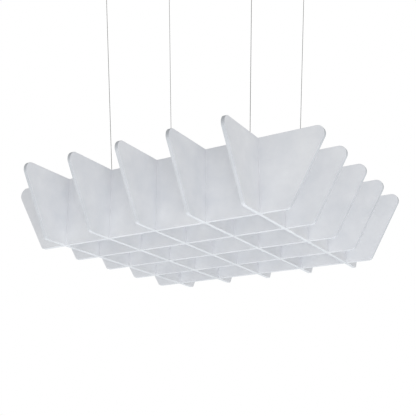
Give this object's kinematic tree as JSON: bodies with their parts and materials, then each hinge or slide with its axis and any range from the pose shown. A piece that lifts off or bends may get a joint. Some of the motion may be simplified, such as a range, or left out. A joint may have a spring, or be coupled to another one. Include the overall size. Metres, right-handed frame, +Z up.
{
  "type": "acoustic ceiling baffle",
  "caption": "Open square lattice of slotted felt panels with slanted ends and rounded corners, hung from ceiling anchors on thin steel wires with adjustable grippers.",
  "frame": {"origin": "on the ceiling, in the middle of the rectangle of the four anchor screws", "axes": "+Z up into the ceiling, +X along the across panels (right as the picture looks at it), +Y along the lengthwise panels (away from the viewer)"},
  "size_m": [1.1998, 1.1998, 1.3825],
  "materials": {
    "felt": "pressed polyester felt, light blue-grey, matt",
    "wire_rope": "stranded galvanised steel wire rope",
    "crimped_steel": "swaged steel",
    "satin_nickel": "satin nickel plate on turned steel",
    "polished_steel": "polished",
    "hardened_steel": "hardened, dark",
    "spring_steel": "drawn spring wire",
    "zinc_plated_sheet": "bright zinc plate",
    "zinc_plated_screw": "bright zinc plate"
  },
  "bodies": {
    "ceiling_anchors": {"front_left_anchor_base": "satin_nickel", "front_left_anchor_cap": "satin_nickel", "front_right_anchor_base": "satin_nickel", "front_right_anchor_cap": "satin_nickel", "back_left_anchor_base": "satin_nickel", "back_left_anchor_cap": "satin_nickel", "back_right_anchor_base": "satin_nickel", "back_right_anchor_cap": "satin_nickel"},
    "lattice": {"across_panel_1": "felt", "across_panel_2": "felt", "across_panel_3": "felt", "across_panel_4": "felt", "across_panel_5": "felt", "lengthwise_panel_1": "felt", "lengthwise_panel_2": "felt", "lengthwise_panel_3": "felt", "lengthwise_panel_4": "felt", "lengthwise_panel_5": "felt", "front_left_bracket": "zinc_plated_sheet", "front_left_backing_plate": "zinc_plated_sheet", "front_left_gripper_body": "satin_nickel", "front_left_gripper_plug": "satin_nickel", "front_left_gripper_spring": "spring_steel", "front_right_bracket": "zinc_plated_sheet", "front_right_backing_plate": "zinc_plated_sheet", "front_right_gripper_body": "satin_nickel", "front_right_gripper_plug": "satin_nickel", "front_right_gripper_spring": "spring_steel", "back_left_bracket": "zinc_plated_sheet", "back_left_backing_plate": "zinc_plated_sheet", "back_left_gripper_body": "satin_nickel", "back_left_gripper_plug": "satin_nickel", "back_left_gripper_spring": "spring_steel", "back_right_bracket": "zinc_plated_sheet", "back_right_backing_plate": "zinc_plated_sheet", "back_right_gripper_body": "satin_nickel", "back_right_gripper_plug": "satin_nickel", "back_right_gripper_spring": "spring_steel", "clamp_screws": "zinc_plated_screw"},
    "front_left_wire": {"front_left_wire": "wire_rope", "front_left_wire_ends": "crimped_steel"},
    "front_left_plunger": {"front_left_gripper_plunger": "polished_steel", "front_left_gripper_jaws": "hardened_steel"},
    "front_right_wire": {"front_right_wire": "wire_rope", "front_right_wire_ends": "crimped_steel"},
    "front_right_plunger": {"front_right_gripper_plunger": "polished_steel", "front_right_gripper_jaws": "hardened_steel"},
    "back_left_wire": {"back_left_wire": "wire_rope", "back_left_wire_ends": "crimped_steel"},
    "back_left_plunger": {"back_left_gripper_plunger": "polished_steel", "back_left_gripper_jaws": "hardened_steel"},
    "back_right_wire": {"back_right_wire": "wire_rope", "back_right_wire_ends": "crimped_steel"},
    "back_right_plunger": {"back_right_gripper_plunger": "polished_steel", "back_right_gripper_jaws": "hardened_steel"}
  },
  "joints": [
    {"name": "lattice_height", "type": "slide", "parent": "ceiling_anchors", "child": "lattice", "axis": [0, 0, 1], "range_m": [-0.04, 0.04]},
    {"name": "front_left_wire_lean", "type": "hinge", "parent": "ceiling_anchors", "child": "front_left_wire", "pos_m": [-0.346, -0.249, -0.0245], "axis": [0.5799, -0.8147, 0], "range_deg": [-0.2, 0.2]},
    {"name": "front_left_plunger_press", "type": "slide", "parent": "lattice", "child": "front_left_plunger", "axis": [0.0524, 0.0373, -0.9979], "range_m": [0, 0.0025], "stiffness_N_per_m": 800, "springref_m": -0.004, "deforming": ["front_left_gripper_spring"]},
    {"name": "front_right_wire_lean", "type": "hinge", "parent": "ceiling_anchors", "child": "front_right_wire", "pos_m": [0.346, -0.249, -0.0245], "axis": [0.5799, 0.8147, 0], "range_deg": [-0.2, 0.2]},
    {"name": "front_right_plunger_press", "type": "slide", "parent": "lattice", "child": "front_right_plunger", "axis": [-0.0524, 0.0373, -0.9979], "range_m": [0, 0.0025], "stiffness_N_per_m": 800, "springref_m": -0.004, "deforming": ["front_right_gripper_spring"]},
    {"name": "back_left_wire_lean", "type": "hinge", "parent": "ceiling_anchors", "child": "back_left_wire", "pos_m": [-0.346, 0.249, -0.0245], "axis": [-0.5799, -0.8147, 0], "range_deg": [-0.2, 0.2]},
    {"name": "back_left_plunger_press", "type": "slide", "parent": "lattice", "child": "back_left_plunger", "axis": [0.0524, -0.0373, -0.9979], "range_m": [0, 0.0025], "stiffness_N_per_m": 800, "springref_m": -0.004, "deforming": ["back_left_gripper_spring"]},
    {"name": "back_right_wire_lean", "type": "hinge", "parent": "ceiling_anchors", "child": "back_right_wire", "pos_m": [0.346, 0.249, -0.0245], "axis": [-0.5799, 0.8147, 0], "range_deg": [-0.2, 0.2]},
    {"name": "back_right_plunger_press", "type": "slide", "parent": "lattice", "child": "back_right_plunger", "axis": [-0.0524, -0.0373, -0.9979], "range_m": [0, 0.0025], "stiffness_N_per_m": 800, "springref_m": -0.004, "deforming": ["back_right_gripper_spring"]}
  ],
  "couplings": [
    {"joint": "front_left_wire_lean", "follows": "lattice_height", "rad_per_m": 0.05714},
    {"joint": "front_right_wire_lean", "follows": "lattice_height", "rad_per_m": 0.05714},
    {"joint": "back_left_wire_lean", "follows": "lattice_height", "rad_per_m": 0.05714},
    {"joint": "back_right_wire_lean", "follows": "lattice_height", "rad_per_m": 0.05714}
  ]
}
